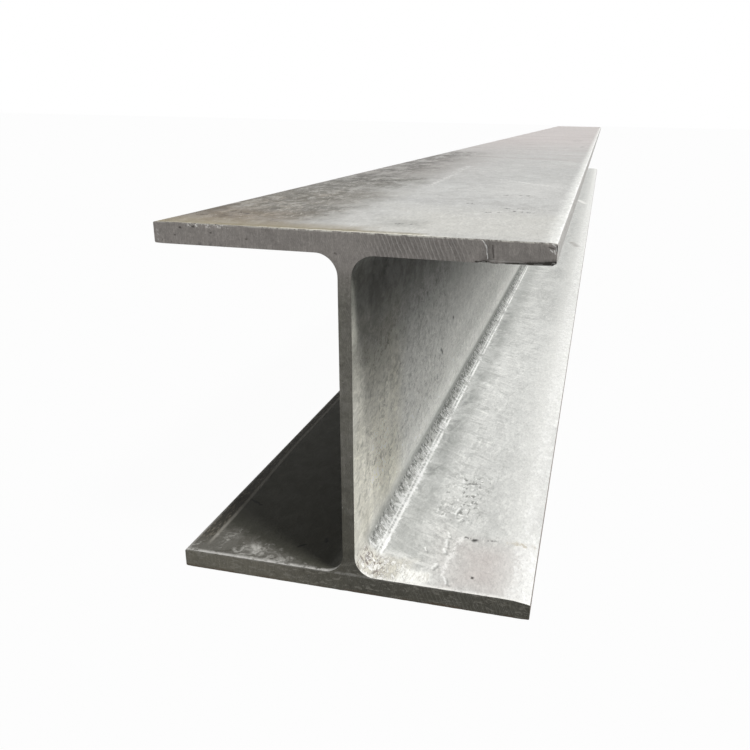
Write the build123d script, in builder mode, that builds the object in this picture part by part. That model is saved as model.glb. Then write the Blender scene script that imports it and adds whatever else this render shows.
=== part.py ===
# Steel H-beam: a hot-rolled wide-flange section, cut to length with a saw.
#
# Sizes are in millimetres. The beam stands on its lower flange: +Z is up, the length runs
# along Y and the flanges spread along X. The origin is on the face that the beam rests on,
# under the middle of its length. The near sawn end is the one at -Y.

import os

from build123d import *

# The section, as such beams are listed: depth by width by web by flange, and the root radius
depth = 350.0
width = 350.0
web_thickness = 12.0
flange_thickness = 19.0
root_radius = 20.0

# The stock length
length = 6000.0

# The flange edges as the rolls leave them: each face falls away a little beside the tip,
# and the corners of the tip are rounded
shoulder_width = 12.0
shoulder_drop = 0.4
toe_radius = 1.3

# The lower flange's inner face falls away further and faster at its +X tip
thin_tip_width = 25.0
thin_tip_drop = 2.9

# The bevel torn by the saw under the upper flange, at one corner of the near end: it starts
# small and grows towards the tip of the flange
bevel_length = 50.0
bevel_start_size = 0.6
bevel_tip_size = 4.6

# How far a cutting shape reaches past the steel that it cuts
cut_reach = 2.0

# Places that follow from the sizes, measured from the middle of the section
half_width = width / 2
half_depth = depth / 2
half_web = web_thickness / 2
half_length = length / 2
flange_inner_height = half_depth - flange_thickness
shoulder_start = half_width - shoulder_width

section_plane = Plane(origin=(0, 0, half_depth), x_dir=(1, 0, 0), z_dir=(0, -1, 0))


with BuildPart() as h_beam:
    # One quarter of the section is drawn and mirrored twice, so all four arms are alike
    with BuildSketch(section_plane):
        with BuildLine():
            web_side = Line((half_web, 0), (half_web, flange_inner_height))
            inner_face = Line(web_side @ 1, (shoulder_start, flange_inner_height))
            inner_shoulder = TangentArc(
                inner_face @ 1,
                (half_width, flange_inner_height + shoulder_drop),
                tangent=inner_face % 1,
            )
            tip = Line(inner_shoulder @ 1, (half_width, half_depth - shoulder_drop))
            outer_shoulder = TangentArc((shoulder_start, half_depth), tip @ 1, tangent=(1, 0))
            Polyline(outer_shoulder @ 0, (0, half_depth), (0, 0), web_side @ 0)
        quarter = make_face()
        root_corner = quarter.vertices().sort_by_distance(web_side @ 1)[0]
        fillet(root_corner, root_radius)
        mirror(about=Plane.YZ)
        mirror(about=Plane.XZ)

        # The thin tip is cut from the lower flange before the corners are rounded
        with BuildLine():
            thin_tip = TangentArc(
                (half_width - thin_tip_width, -flange_inner_height),
                (half_width, -flange_inner_height - thin_tip_drop),
                tangent=(1, 0),
            )
            Polyline(
                thin_tip @ 1,
                (half_width + cut_reach, -flange_inner_height - thin_tip_drop),
                (half_width + cut_reach, -flange_inner_height + cut_reach),
                (half_width - thin_tip_width, -flange_inner_height + cut_reach),
                thin_tip @ 0,
            )
        make_face(mode=Mode.SUBTRACT)

        left_corners = vertices().group_by(Axis.X)[0]
        right_corners = vertices().group_by(Axis.X)[-1]
        fillet(left_corners + right_corners, toe_radius)
    extrude(amount=half_length, both=True)

    # The bevel is a three-sided cut that widens from its start to past the flange's tip
    bevel_edge_height = depth - flange_thickness
    bevel_stations = [
        (half_width - bevel_length, bevel_start_size),
        (half_width + cut_reach, bevel_tip_size),
    ]
    for station, size in bevel_stations:
        with BuildSketch(Plane.YZ.offset(station)):
            with BuildLine():
                outside = -half_length - cut_reach
                below = bevel_edge_height - cut_reach
                Polyline(
                    (outside, below),
                    (-half_length + size + cut_reach, below),
                    (outside, bevel_edge_height + size + cut_reach),
                    close=True,
                )
            make_face()
    loft(mode=Mode.SUBTRACT)

h_beam.part.label = "h_beam"

os.makedirs("parts", exist_ok=True)
export_step(h_beam.part, "parts/h_beam.step")
print("h_beam volume in cubic metres:", round(h_beam.part.volume / 1e9, 5))
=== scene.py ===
# %% [markdown]
# # A rolled steel H-beam, sawn to length
#
# The object is one piece of hot-rolled steel: two flanges joined by a web. The rolls leave
# rounded roots between web and flanges, softly rounded flange tips and a mottled grey skin.
# A saw leaves the near end darker, grained and striped, with small nicks along its edges.
#
# The lesson goes from the camera, through the shape of the beam, to its steel and the light.

# %% Load the frame
import math

import bmesh
import bpy
import numpy as np
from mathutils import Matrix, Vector


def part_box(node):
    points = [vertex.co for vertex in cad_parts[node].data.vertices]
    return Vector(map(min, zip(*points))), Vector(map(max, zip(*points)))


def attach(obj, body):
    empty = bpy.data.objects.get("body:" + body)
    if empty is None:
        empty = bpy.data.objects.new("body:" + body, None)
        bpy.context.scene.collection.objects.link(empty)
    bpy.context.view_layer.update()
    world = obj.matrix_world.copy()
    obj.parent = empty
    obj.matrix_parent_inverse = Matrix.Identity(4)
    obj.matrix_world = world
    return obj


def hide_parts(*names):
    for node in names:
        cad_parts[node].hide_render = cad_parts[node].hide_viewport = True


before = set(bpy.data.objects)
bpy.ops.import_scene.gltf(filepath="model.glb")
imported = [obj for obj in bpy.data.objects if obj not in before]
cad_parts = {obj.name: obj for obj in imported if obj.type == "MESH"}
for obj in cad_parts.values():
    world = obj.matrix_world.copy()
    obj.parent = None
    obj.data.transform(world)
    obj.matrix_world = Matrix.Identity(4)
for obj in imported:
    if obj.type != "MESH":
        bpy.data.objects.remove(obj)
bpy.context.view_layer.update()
box_low, box_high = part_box("h_beam")
width, length, depth = box_high - box_low
near_end = box_low.y
far_end = box_high.y
print("beam", round(width, 3), "wide", round(depth, 3), "deep", round(length, 3), "long")

# %% [markdown]
# ## The camera
#
# The photograph was taken close to the near end, a little to the right of the beam and just
# above the upper flange, so the far end shrinks quickly. The place and the turn come from
# fitting the corners of the beam to the picture. The picture's middle isn't quite where the
# lens points, so the camera has a small sideways shift.

# %% Camera
CAMERA_PLACE = (0.2018, near_end - 0.5841, 0.4448)
CAMERA_TURN_DEGREES = (71.19, -1.05, 13.11)
CAMERA_LENS_MM = 35.65
CAMERA_SHIFT = (-0.0641, -0.0140)

camera_data = bpy.data.cameras.new("camera")
camera_data.sensor_width = 36.0
camera_data.lens = CAMERA_LENS_MM
camera_data.shift_x, camera_data.shift_y = CAMERA_SHIFT
camera_data.clip_start = 0.02
camera_data.clip_end = 200.0
camera = bpy.data.objects.new("camera", camera_data)
camera.location = CAMERA_PLACE
camera.rotation_euler = [math.radians(angle) for angle in CAMERA_TURN_DEGREES]
bpy.context.scene.collection.objects.link(camera)
bpy.context.scene.camera = camera
print("camera is", round(near_end - CAMERA_PLACE[1], 3), "m in front of the near end")

# %% [markdown]
# ## The rolled section
#
# The section could be drawn as a curve and filled, but a filled curve has long thin
# triangles that no relief can follow. Here the section is a sheet of four-sided faces: rows
# across each flange and across the web. The edge of the sheet is the outline that the rolls
# leave, with round roots, round toes and a shoulder that falls away beside each tip. The
# lower flange is thinner towards its right tip, as the photograph shows.

# %% Sizes of the section
WEB = 0.012
FLANGE = 0.019
ROOT_RADIUS = 0.020
TOE_RADIUS = 0.0013
SHOULDER = (0.012, 0.0004)
THIN_TIP = (0.025, 0.0029)

half_width = width / 2
half_depth = depth / 2
half_web = WEB / 2
inner_height = half_depth - FLANGE
flange_middle = half_depth - FLANGE / 2
root_end = half_web + ROOT_RADIUS
print("the web is", round(2 * inner_height * 1000), "mm high between the flanges")


# %% Half of a flange's outline, from its tip to the middle of the web
def steps(count):
    """Even steps from 0 to 1, without the last."""
    return np.arange(count) / count


def flange_edge(fine, inner, shoulder):
    """Points of one face of half a flange, as x and distance from the flange's middle."""
    toe_steps, shoulder_steps = 4, 5 * fine
    flat_steps, root_steps, web_steps = 24 * fine, 8 * min(fine, 2), 2 * min(fine, 2)
    half_thickness = FLANGE / 2
    shoulder_width, shoulder_drop = shoulder
    shoulder_start = half_width - shoulder_width
    shoulder_arc = (shoulder_width**2 + shoulder_drop**2) / (2 * shoulder_drop)
    tip_slope = 2 * math.atan(shoulder_drop / shoulder_width)
    toe_x = half_width - TOE_RADIUS
    toe_height = half_thickness - shoulder_drop
    toe_height += TOE_RADIUS * (math.tan(tip_slope) - 1 / math.cos(tip_slope))
    turn = (math.pi / 2 - tip_slope) * steps(toe_steps)
    toe = [(toe_x + TOE_RADIUS * math.cos(a), toe_height + TOE_RADIUS * math.sin(a)) for a in turn]
    last = math.pi / 2 - tip_slope
    x = toe_x + TOE_RADIUS * math.cos(last)
    x = x + (shoulder_start - x) * steps(shoulder_steps)
    fall = shoulder_arc - np.sqrt(shoulder_arc**2 - (x - shoulder_start) ** 2)
    shoulder = list(zip(x, half_thickness - fall))
    x = shoulder_start + (root_end - shoulder_start) * steps(flat_steps)
    flat = [(value, half_thickness) for value in x]
    if inner:
        turn = (math.pi / 2) * (1 - steps(root_steps))
        root_top = half_thickness + ROOT_RADIUS
        root = [(root_end - ROOT_RADIUS * math.cos(a), root_top - ROOT_RADIUS * math.sin(a))
                for a in turn]
        across = half_web * (1 - np.append(steps(web_steps), 1))
        middle = [(value, half_thickness + ROOT_RADIUS) for value in across]
    else:
        across = root_end * (1 - np.append(steps(root_steps + web_steps), 1))
        root, middle = [], [(value, half_thickness) for value in across]
    return np.array(toe + shoulder + flat + root + middle)


print("one flange face has", len(flange_edge(4, True, SHOULDER)), "points from tip to middle")


# %% The section as a sheet of four-sided faces
def section_sheet(fine):
    """A flat sheet of the whole section, as (x, z) points and faces. fine is 1, 2 or 4."""
    points, faces, known = [], [], {}

    def point(x, z):
        key = (round(x, 7), round(z, 7))
        if key not in known:
            known[key] = len(points)
            points.append((x, z))
        return known[key]

    def patch(first, second, rows):
        """Faces between two lines of points that run side by side."""
        share = np.linspace(0, 1, rows + 1)[:, None, None]
        grid = first[None] * (1 - share) + second[None] * share
        index = [[point(*xz) for xz in row] for row in grid]
        for upper, lower in zip(index, index[1:]):
            for i in range(len(upper) - 1):
                faces.append((upper[i], lower[i], lower[i + 1], upper[i + 1]))

    for side in (1, -1):
        lines = []
        for inner, way in ((False, 1), (True, -1)):
            is_thin = inner and side == -1
            halves = []
            for shoulder, hand in ((THIN_TIP if is_thin else SHOULDER, 1), (SHOULDER, -1)):
                edge = flange_edge(fine, inner, shoulder)
                z = half_depth + side * (flange_middle + way * edge[:, 1])
                halves.append(np.column_stack([hand * edge[:, 0], z]))
            right, left = halves
            lines.append(np.vstack([right, left[::-1][1:]]))
        patch(*lines[::side], rows=3 * fine)
    web_line = flange_edge(fine, True, SHOULDER)[-1 - 2 * min(fine, 2):, 0]
    web_line = np.append(web_line, -web_line[::-1][1:])
    top = half_depth + inner_height - ROOT_RADIUS
    bottom = half_depth - inner_height + ROOT_RADIUS
    upper = np.column_stack([web_line, np.full(len(web_line), top)])
    lower = np.column_stack([web_line, np.full(len(web_line), bottom)])
    patch(upper, lower, rows=52 * fine)
    return np.array(points), faces


sheets = {fine: section_sheet(fine) for fine in (4, 2, 1)}
for fine, (points, faces) in sheets.items():
    print("sheet", fine, "has", len(points), "points and", len(faces), "faces")


# %% Walk round the edge of a sheet
def outline(fine):
    """The numbers of the points round the edge of a sheet, in order."""
    points, faces = sheets[fine]
    edges = {edge for face in faces for edge in zip(face, face[1:] + face[:1])}
    after = {a: b for a, b in edges if (b, a) not in edges}
    start = max(after, key=lambda i: (round(points[i][1], 6), round(points[i][0], 6)))
    loop, here = [start], after[start]
    while here != start:
        loop.append(here)
        here = after[here]
    return loop


loops = {fine: outline(fine) for fine in sheets}
print("points round the outline:", {fine: len(loop) for fine, loop in loops.items()})

# %% [markdown]
# ## The near end
#
# The near end is what the camera sees best, so its sheet is fine, and the skin behind it
# starts with narrow rows. Farther back nobody sees a millimetre, so every second line of
# points is dropped, twice. Triangles fill the step where a line ends, which keeps the skin
# closed. The far end is the coarse sheet.

# %% Near end, the first rows of skin, and the far end
# Each row has a fineness, as the sheets do, and a distance behind the cut
SKIN_ROWS = [
    (4, 0.0008), (4, 0.0017), (4, 0.0028), (4, 0.0042), (2, 0.0068), (2, 0.0110), (1, 0.0170),
]


def sawn_bar_ends():
    """The fine near end with its collar of skin, and the coarse far end, as points and faces."""
    sheet_points, sheet_faces = sheets[4]
    places = [(x, near_end, z) for x, z in sheet_points]
    faces = [face[::-1] for face in sheet_faces]
    level, row = 4, list(loops[4])
    for fine, distance in SKIN_ROWS:
        next_points = sheets[fine][0][loops[fine]]
        next_row = list(range(len(places), len(places) + len(next_points)))
        places += [(x, near_end + distance, z) for x, z in next_points]
        if fine == level:
            pairs = [[i] for i in range(len(row))]
        else:
            kept = {(round(x, 6), round(z, 6)) for x, z in next_points}
            pairs = []
            for i, number in enumerate(row):
                x, _, z = places[number]
                if (round(x, 6), round(z, 6)) in kept:
                    pairs.append([i])
                else:
                    pairs[-1].append(i)
        for j, group in enumerate(pairs):
            a, b = next_row[j], next_row[(j + 1) % len(next_row)]
            start, end = row[group[0]], row[(group[-1] + 1) % len(row)]
            if len(group) == 1:
                faces.append((start, end, b, a))
            else:
                middle = row[group[1]]
                faces += [(start, middle, a), (middle, b, a), (middle, end, b)]
        level, row = fine, next_row
    first_far = len(places)
    far_points, far_faces = sheets[1]
    places += [(x, far_end, z) for x, z in far_points]
    faces += [tuple(first_far + i for i in face) for face in far_faces]
    return np.array(places), faces


end_places, end_faces = sawn_bar_ends()
print("ends and collar:", len(end_places), "points,", len(end_faces), "faces")

# %% [markdown]
# ## Relief of the sawn end
#
# The saw blade leaves slanted ripples, 3.65 mm apart and about a tenth of a millimetre deep,
# that are strongest on the upper flange. The edges have small chips. At the right corner the
# saw tore the steel, which left a bevel under the upper flange that grows towards the tip, and
# rounded the corner beside it. All of this is moved into the points of the fine sheet, because
# it shows in the outline of the cut, which bump can't change.

# %% Ripples, chips and the torn bevel
SAW_INSET = 0.0004
SAW_PITCH = 0.00365
SAW_LEAN = math.radians(22)
RIPPLE_DEPTH = 0.00011
CHIP_DEPTH = 0.0006
BEVEL_STATIONS = (0.1125, 0.1150, 0.1190, 0.1235, 0.1270, 0.1350, 0.1470, 0.1620, 0.1750)
BEVEL_SIZES = (0.0000, 0.0020, 0.0025, 0.0008, 0.0007, 0.0013, 0.0022, 0.0034, 0.0044)
CORNER_RADIUS = 0.0042
CORNER_FADE = (0.003, 0.016)


def wavy(a, b, size, seed):
    """Smooth random ups and downs over two coordinates, mostly between -1 and 1."""
    random = np.random.default_rng(seed)
    total = np.zeros_like(a)
    for _ in range(8):
        angle, phase = random.uniform(0, 2 * math.pi, 2)
        wave = size * random.uniform(0.6, 1.6)
        total += np.sin((a * math.cos(angle) + b * math.sin(angle)) * 2 * math.pi / wave + phase)
    return total / 2.8


def ramp(value, start, end):
    """A soft step from 0 at start to 1 at end."""
    share = np.clip((value - start) / (end - start), 0, 1)
    return share * share * (3 - 2 * share)


def shoulder_fall(x, shoulder):
    """How far a flange's face has fallen away at x."""
    wide, drop = shoulder
    past = np.maximum(np.abs(x) - (half_width - wide), 0)
    return past**2 * drop / (wide**2 + drop**2)


def edge_distance(x, z):
    """How far a point is inside the outline of a flange."""
    from_middle = np.abs(z - half_depth)
    outer = half_depth - shoulder_fall(x, SHOULDER) - from_middle
    is_thin = (x > 0) & (z < half_depth)
    fall = np.where(is_thin, shoulder_fall(x, THIN_TIP), shoulder_fall(x, SHOULDER))
    inner = np.where(np.abs(x) > root_end, from_middle - inner_height - fall, 1)
    return np.minimum(np.minimum(outer, inner), half_width - np.abs(x))


def relief(places):
    """Move the points of the near end and its collar into the sawn shape."""
    x, y, z = places.T.copy()
    behind = y - near_end
    cap = behind < 1e-6
    on_top = ramp(z, 0.320, 0.330)
    strength = 0.20 + 0.80 * on_top * ramp(x, 0.005, 0.030) * (1 - ramp(x, 0.112, 0.122))
    strength += 0.35 * (1 - ramp(z, 0.020, 0.030)) * ramp(x, 0.050, 0.090)
    along = x * math.cos(SAW_LEAN) + z * math.sin(SAW_LEAN)
    drift = 0.0006 * wavy(x, z, 0.035, 1)
    ripple = np.sin((along + drift) * 2 * math.pi / SAW_PITCH) * 0.5 + 0.5
    patches = 0.65 + 0.35 * wavy(x, z, 0.020, 2)
    depth_in = RIPPLE_DEPTH * strength * ripple * patches + 0.00007 * wavy(x, z, 0.012, 3)
    rim = edge_distance(x, z)
    chips = np.clip(wavy(x, z, 0.0060, 4), 0, 1) ** 2
    chippy = 0.15 + 1.2 * on_top * ramp(-x, 0.105, 0.112) * (1 - ramp(-x, 0.137, 0.145))
    chippy += 2.2 * ramp(x, 0.165, 0.170) * ramp(z, 0.338, 0.343)
    chip = CHIP_DEPTH * chips * chippy * (1 - ramp(rim, 0.0003, 0.0022))
    y = np.where(cap, near_end + np.maximum(SAW_INSET + depth_in + chip, 0.00005), y)

    # The bevel slopes from the sawn face to the flange's underside, and its edges are ragged
    size = np.interp(x, BEVEL_STATIONS, BEVEL_SIZES, left=0)
    corner = half_depth + inner_height + shoulder_fall(x, SHOULDER)
    height = z - corner
    ragged = 0.00025 * wavy(x, z * 0, 0.005, 5)
    torn = (size > 0) & (z > 0.325)
    face = torn & cap & (height < size)
    share = height / np.maximum(size, 1e-9)
    slope = (size / 2 + ragged) * (1 - share) + SAW_INSET * share
    y = np.where(face, near_end + slope, y)
    z = np.where(face, corner + size / 2 + share * size / 2, z)
    under = torn & ~cap & (behind < size) & (np.abs(height) < 0.0004)
    share = behind / np.maximum(size, 1e-9)
    y = np.where(under, near_end + size / 2 + share * size / 2, y)
    z = np.where(under, corner + size / 2 * (1 - share), z)

    # The corner's points move onto a quarter circle that fades away behind the cut
    radius = CORNER_RADIUS * (1 - ramp(y - near_end, *CORNER_FADE))
    inward = radius - (half_width - x)
    upward = radius - (z - half_depth - inner_height)
    rounded = (inward > 0) & (upward > 0) & (z > half_depth + inner_height - 0.0001)
    diagonal = np.maximum(np.hypot(inward, upward), 1e-9)
    squeeze = np.where(rounded, np.maximum(inward, upward) / diagonal, 1)
    x = np.where(rounded, half_width - radius + inward * squeeze, x)
    z = np.where(rounded, half_depth + inner_height + radius - upward * squeeze, z)
    return np.column_stack([x, np.maximum(y, near_end), z])


end_places = relief(end_places)
end_depths = end_places[:len(sheets[4][0]), 1] - near_end
print("the near end is at most", round(float(end_depths.max()) * 1000, 2), "mm deep, in the bevel")

# %% [markdown]
# ## Nodes
#
# Both the geometry and the materials below are made of nodes. One short function adds a node:
# an input that is given another node's output is linked, and any other value is set.

# %% A function that adds a node
def node(tree, kind, inputs=None, **settings):
    """Add a node to a tree, with its settings and its inputs."""
    new = tree.nodes.new(kind)
    for name, value in settings.items():
        setattr(new, name, value)
    for name, value in (inputs or {}).items():
        if isinstance(value, bpy.types.NodeSocket):
            tree.links.new(value, new.inputs[name])
        else:
            new.inputs[name].default_value = value
    return new


def math_node(tree, operation, *values):
    """The result of a math node."""
    return node(tree, "ShaderNodeMath", dict(enumerate(values)), operation=operation).outputs[0]


# %% [markdown]
# ## The rolled bar
#
# A rolled bar is one section all the way along, so its skin follows a rule: the outline at
# the end of the collar is taken as a curve and swept to the far end. The stations of the
# sweep crowd together near the camera. Steel that has cooled on a bed isn't perfectly flat,
# so the skin gets hollows of a fraction of a millimetre.

# %% Geometry nodes: sweep the outline to the far end
WELD_DISTANCE = 2e-5
HOLLOW_STRETCH = (1, 0.35, 1)
HOLLOW_FADE = 0.05
SAWN_FACING = 0.66


def rolled_bar_tree():
    """Geometry nodes that close a bar between its two ends."""
    tree = bpy.data.node_groups.new("rolled bar", "GeometryNodeTree")
    for name, kind in (
        ("Geometry", "NodeSocketGeometry"),
        ("Start", "NodeSocketFloat"),
        ("End", "NodeSocketFloat"),
        ("Stations", "NodeSocketInt"),
        ("Crowding", "NodeSocketFloat"),
        ("Hollows", "NodeSocketFloat"),
        ("Hollow size", "NodeSocketFloat"),
        ("Seed", "NodeSocketFloat"),
        ("Skin", "NodeSocketMaterial"),
        ("Sawn", "NodeSocketMaterial"),
    ):
        tree.interface.new_socket(name, in_out="INPUT", socket_type=kind)
    tree.interface.new_socket("Geometry", in_out="OUTPUT", socket_type="NodeSocketGeometry")
    given = node(tree, "NodeGroupInput").outputs

    position = node(tree, "GeometryNodeInputPosition").outputs[0]
    split = node(tree, "ShaderNodeSeparateXYZ", {0: position}).outputs
    neighbours = node(tree, "GeometryNodeInputMeshEdgeNeighbors").outputs[0]
    is_open = node(tree, "FunctionNodeCompare", {2: neighbours, 3: 1},
                   data_type="INT", operation="EQUAL").outputs[0]
    is_near = node(tree, "FunctionNodeCompare", {0: split["Y"], 1: 0.0},
                   data_type="FLOAT", operation="LESS_THAN").outputs[0]
    chosen = node(tree, "FunctionNodeBooleanMath", {0: is_open, 1: is_near},
                  operation="AND").outputs[0]
    outline = node(tree, "GeometryNodeMeshToCurve",
                   {"Mesh": given["Geometry"], "Selection": chosen})
    below = math_node(tree, "MULTIPLY", split["Z"], -1.0)
    flat = node(tree, "ShaderNodeCombineXYZ", {"X": split["X"], "Y": below}).outputs[0]
    profile = node(tree, "GeometryNodeSetPosition",
                   {"Geometry": outline.outputs[0], "Position": flat})

    path = node(tree, "GeometryNodeCurvePrimitiveLine", {"End": (0, 1, 0)})
    path = node(tree, "GeometryNodeResampleCurve",
                {"Curve": path.outputs[0], "Count": given["Stations"]})
    share = node(tree, "GeometryNodeSplineParameter").outputs["Factor"]
    grown = math_node(tree, "EXPONENT", math_node(tree, "MULTIPLY", share, given["Crowding"]))
    whole = math_node(tree, "EXPONENT", given["Crowding"])
    crowded = math_node(tree, "DIVIDE", math_node(tree, "SUBTRACT", grown, 1.0),
                        math_node(tree, "SUBTRACT", whole, 1.0))
    span = math_node(tree, "SUBTRACT", given["End"], given["Start"])
    place = math_node(tree, "MULTIPLY_ADD", crowded, span, given["Start"])
    place = node(tree, "ShaderNodeCombineXYZ", {"Y": place}).outputs[0]
    path = node(tree, "GeometryNodeSetPosition",
                {"Geometry": path.outputs[0], "Position": place})
    swept = node(tree, "GeometryNodeCurveToMesh",
                 {"Curve": path.outputs[0], "Profile Curve": profile.outputs[0]})

    whole_bar = node(tree, "GeometryNodeJoinGeometry")
    tree.links.new(swept.outputs[0], whole_bar.inputs[0])
    tree.links.new(given["Geometry"], whole_bar.inputs[0])
    welded = node(tree, "GeometryNodeMergeByDistance",
                  {"Geometry": whole_bar.outputs[0], "Distance": WELD_DISTANCE})

    stretched = node(tree, "ShaderNodeVectorMath", {0: position, 1: HOLLOW_STRETCH},
                     operation="MULTIPLY")
    scale = math_node(tree, "DIVIDE", 1.0, given["Hollow size"])
    noise = node(tree, "ShaderNodeTexNoise",
                 {"Vector": stretched.outputs[0], "W": given["Seed"], "Scale": scale,
                  "Detail": 2.0}, noise_dimensions="4D").outputs[0]
    behind = math_node(tree, "SUBTRACT", split["Y"], given["Start"])
    fade = node(tree, "ShaderNodeMapRange",
                {"Value": behind, "From Min": 0.0, "From Max": HOLLOW_FADE}).outputs[0]
    inward = math_node(tree, "MULTIPLY", noise, fade)
    inward = math_node(tree, "MULTIPLY", inward, given["Hollows"])
    inward = math_node(tree, "MULTIPLY", inward, -1.0)
    normal = node(tree, "GeometryNodeInputNormal").outputs[0]
    offset = node(tree, "ShaderNodeVectorMath", {0: normal, "Scale": inward}, operation="SCALE")
    uneven = node(tree, "GeometryNodeSetPosition",
                  {"Geometry": welded.outputs[0], "Offset": offset.outputs[0]})

    smooth = node(tree, "GeometryNodeSetShadeSmooth", {"Geometry": uneven.outputs[0]})
    skin = node(tree, "GeometryNodeSetMaterial",
                {"Geometry": smooth.outputs[0], "Material": given["Skin"]})
    facing = node(tree, "ShaderNodeSeparateXYZ", {0: normal}).outputs["Y"]
    facing = math_node(tree, "ABSOLUTE", facing)
    is_sawn = node(tree, "FunctionNodeCompare", {0: facing, 1: SAWN_FACING},
                   data_type="FLOAT", operation="GREATER_THAN").outputs[0]
    sawn = node(tree, "GeometryNodeSetMaterial",
                {"Geometry": skin.outputs[0], "Selection": is_sawn, "Material": given["Sawn"]})
    real = node(tree, "GeometryNodeRealizeInstances", {"Geometry": sawn.outputs[0]})
    node(tree, "NodeGroupOutput", {0: real.outputs[0]})
    return tree


# %% Materials by name, to be filled in below
upper_skin, right_skin, left_skin, sawn_steel = (
    bpy.data.materials.new(name)
    for name in ("upper_flange_skin", "right_side_skin", "left_side_skin", "sawn_steel")
)


# %% Make the bar
def run_tree(mesh, tree, values):
    """Run geometry nodes on a mesh and return the plain mesh that they make."""
    carrier = bpy.data.objects.new("carrier", mesh)
    bpy.context.scene.collection.objects.link(carrier)
    modifier = carrier.modifiers.new("nodes", "NODES")
    modifier.node_group = tree
    for socket in tree.interface.items_tree:
        if socket.in_out == "INPUT" and socket.name in values:
            modifier[socket.identifier] = values[socket.name]
    depsgraph = bpy.context.evaluated_depsgraph_get()
    result = bpy.data.meshes.new_from_object(
        carrier.evaluated_get(depsgraph), preserve_all_data_layers=True, depsgraph=depsgraph)
    bpy.data.objects.remove(carrier)
    return result


ends = bpy.data.meshes.new("bar_ends")
ends.from_pydata(end_places.tolist(), [], end_faces)
bar_mesh = run_tree(ends, rolled_bar_tree(), {
    "Start": near_end + SKIN_ROWS[-1][1],
    "End": far_end,
    "Stations": 150,
    "Crowding": 3.05,
    "Hollows": 0.00035,
    "Hollow size": 0.16,
    "Seed": 3.0,
    "Skin": right_skin,
    "Sawn": sawn_steel,
})
bar_mesh.name = "rolled_h_beam"
bar_mesh.set_sharp_from_angle(angle=math.radians(30))
bar_mesh.materials.append(upper_skin)
bar_mesh.materials.append(left_skin)


def face_values(name, size):
    """A value of every face, as an array."""
    values = np.zeros(len(bar_mesh.polygons) * size)
    bar_mesh.polygons.foreach_get(name, values)
    return values.reshape(-1, size)


numbers = {material.name: i for i, material in enumerate(bar_mesh.materials) if material}
centre = face_values("center", 3)
facing = face_values("normal", 3)
number = face_values("material_index", 1)[:, 0]
is_skin = number == numbers[right_skin.name]
is_tip = (np.abs(facing[:, 0]) > 0.5) & (np.abs(centre[:, 0]) > 0.170)
is_upper = is_skin & (centre[:, 2] > 0.331) & ((facing[:, 2] > 0.3) | is_tip)
number[is_skin & (centre[:, 0] < 0)] = numbers[left_skin.name]
number[is_upper] = numbers[upper_skin.name]
bar_mesh.polygons.foreach_set("material_index", number.astype(int))
print("faces of each material:", {name: int((number == i).sum()) for name, i in numbers.items()})

bar = bpy.data.objects.new("rolled_h_beam", bar_mesh)
bpy.context.scene.collection.objects.link(bar)

check = bmesh.new()
check.from_mesh(bar_mesh)
open_edges = sum(1 for edge in check.edges if not edge.is_contiguous)
volume = check.calc_volume(signed=True)
triangles = sum(len(face.verts) - 2 for face in check.faces)
check.free()
print("bar:", triangles, "triangles,", open_edges, "open edges,", round(volume, 5), "cubic metres")

# %% [markdown]
# ## Shared shader groups
#
# Four small groups do most of the drawing on the steel. *Streaks* is noise that can be longer
# one way than another. *Zone* is a soft box with a wandering edge. *Scratch* is a short line.
# *Pits* are scattered dots. Each takes a place on the beam, in metres, and gives 0 to 1.

# %% Helpers for shader groups
MIDDLE_OF_NOISE = (0.5, 0.5, 0.5)
SCRATCH_NOISE = 260.0


def new_group(name, inputs):
    """A shader group with float and vector inputs and one output called Value."""
    tree = bpy.data.node_groups.new(name, "ShaderNodeTree")
    for label, value in inputs.items():
        is_vector = isinstance(value, tuple)
        kind = "NodeSocketVector" if is_vector else "NodeSocketFloat"
        socket = tree.interface.new_socket(label, in_out="INPUT", socket_type=kind)
        socket.default_value = value
    tree.interface.new_socket("Value", in_out="OUTPUT", socket_type="NodeSocketFloat")
    return tree, node(tree, "NodeGroupInput").outputs


def vector_node(tree, operation, *values):
    """The result of a vector math node, a number for lengths and products."""
    made = node(tree, "ShaderNodeVectorMath", dict(enumerate(values)), operation=operation)
    return made.outputs["Value" if operation in ("LENGTH", "DOT_PRODUCT", "DISTANCE") else "Vector"]


def scaled(tree, vector, factor):
    """A vector or colour times a number."""
    return node(tree, "ShaderNodeVectorMath", {0: vector, "Scale": factor},
                operation="SCALE").outputs[0]


def smooth_range(tree, value, low, high, to_low=0.0, to_high=1.0):
    """A soft step between two values."""
    return node(tree, "ShaderNodeMapRange", {
        "Value": value, "From Min": low, "From Max": high, "To Min": to_low, "To Max": to_high,
    }, interpolation_type="SMOOTHSTEP").outputs[0]


# %% The four groups
def streaks_group():
    """Noise with a scale for each axis, spread between two levels."""
    tree, given = new_group("streaks", {
        "Vector": (0.0, 0.0, 0.0), "Scale": (1.0, 1.0, 1.0), "Shift": (0.0, 0.0, 0.0),
        "Detail": 2.0, "Bend": 0.0, "Rough": 0.6, "Low": 0.35, "High": 0.65,
    })
    place = vector_node(tree, "MULTIPLY", given["Vector"], given["Scale"])
    place = vector_node(tree, "ADD", place, given["Shift"])
    noise = node(tree, "ShaderNodeTexNoise", {
        "Vector": place, "Scale": 1.0, "Detail": given["Detail"], "Roughness": given["Rough"],
        "Distortion": given["Bend"],
    })
    value = smooth_range(tree, noise.outputs[0], given["Low"], given["High"])
    node(tree, "NodeGroupOutput", {0: value})
    return tree


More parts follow.
